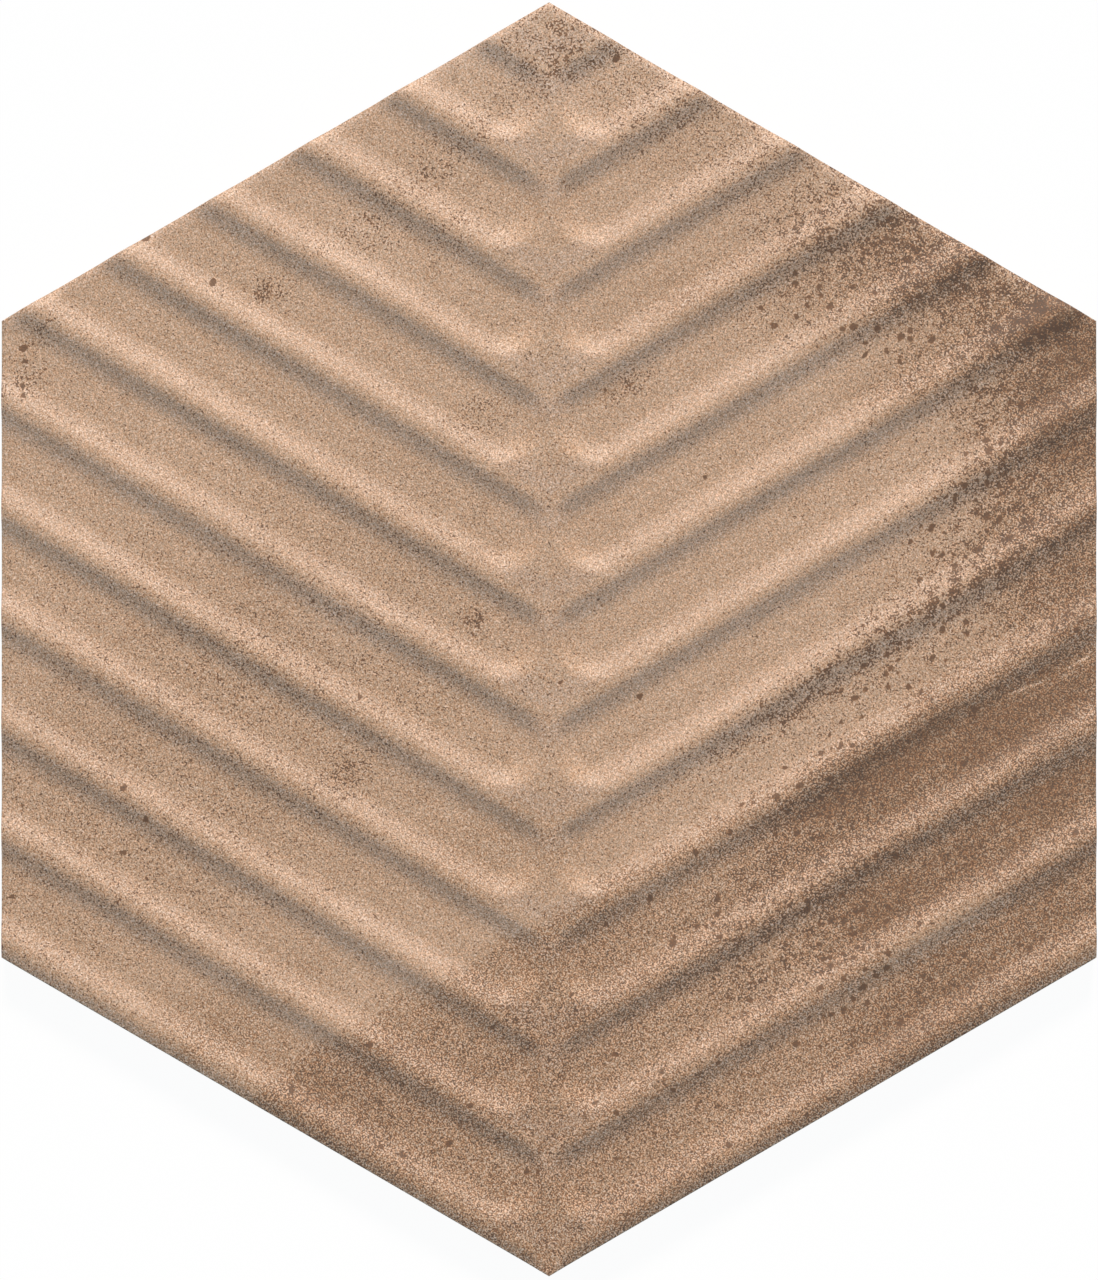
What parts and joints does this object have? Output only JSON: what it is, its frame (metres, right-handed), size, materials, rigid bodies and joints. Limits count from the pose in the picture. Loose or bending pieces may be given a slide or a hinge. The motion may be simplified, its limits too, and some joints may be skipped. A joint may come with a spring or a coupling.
{
  "type": "chevron wall tile",
  "caption": "Hexagonal glazed ceramic wall tile whose face is raised in chevron ridges that meet on a central spine, mottled in beige and brown.",
  "frame": {"origin": "centre of the back face, on the plane that the tile lies on", "axes": "+Z out of the glazed face, +Y towards the upper corner so that the chevrons point to -Y, +X to the right seen from the front"},
  "size_m": [0.215, 0.25, 0.0089],
  "materials": {
    "glaze": "satin glaze, fine worm-like grain in warm beige with brown and grey-green specks"
  },
  "bodies": {
    "root": {"chevron_tile": "glaze"}
  },
  "joints": []
}
